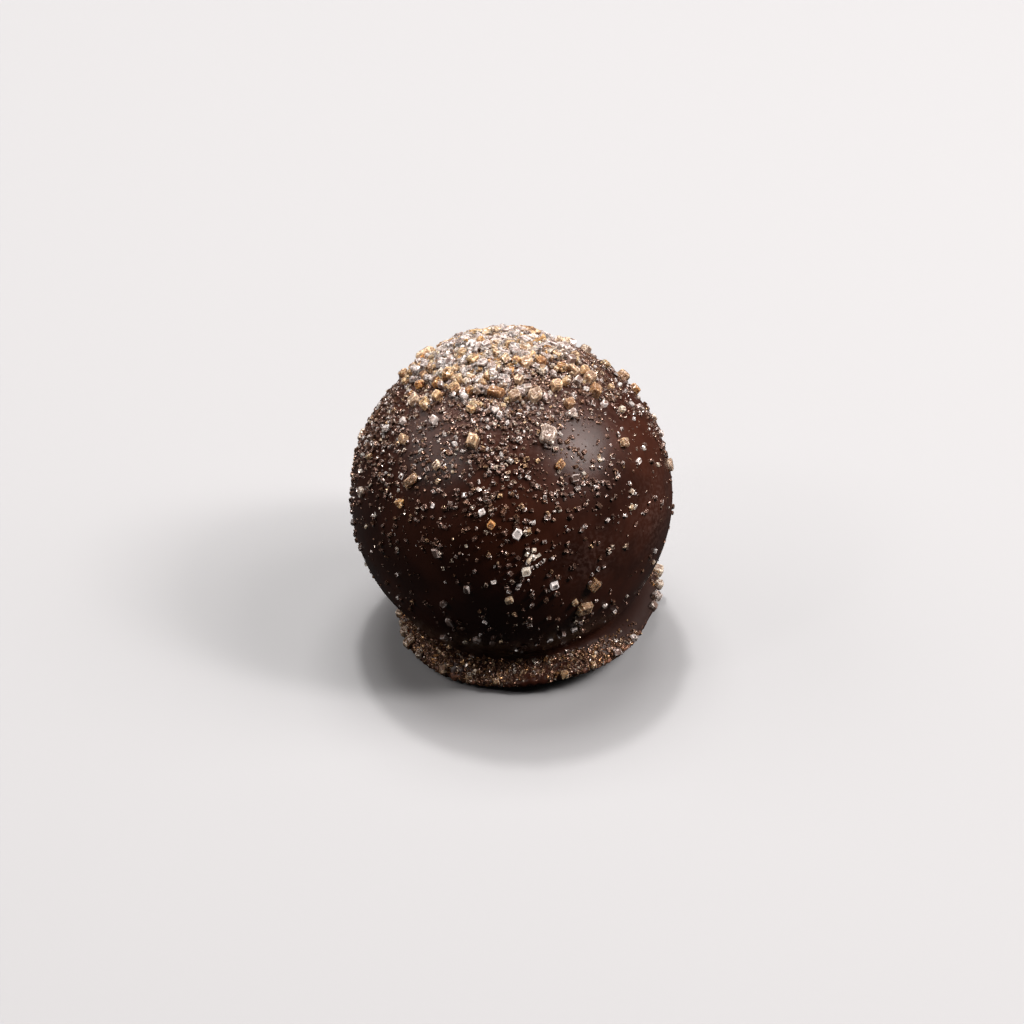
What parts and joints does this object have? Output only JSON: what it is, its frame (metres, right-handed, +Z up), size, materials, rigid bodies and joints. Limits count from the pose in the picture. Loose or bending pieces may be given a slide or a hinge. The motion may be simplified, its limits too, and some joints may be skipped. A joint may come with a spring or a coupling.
{
  "type": "chocolate truffle",
  "caption": "Round dark chocolate truffle on a thin poured foot, with coarse golden and fine clear sugar on its crown.",
  "frame": {"origin": "middle of the flat underside, on the axis of the ball", "axes": "+Z up through the middle of the ball, -Y towards the front, +X to the right seen from the front"},
  "size_m": [0.0281, 0.0282, 0.0279],
  "materials": {
    "chocolate": "dark chocolate coating, satin sheen",
    "golden_sugar": "coarse golden sugar crystals, cloudy",
    "clear_sugar": "fine clear sugar crystals, sparkling"
  },
  "bodies": {
    "root": {"truffle": "chocolate"}
  },
  "joints": []
}
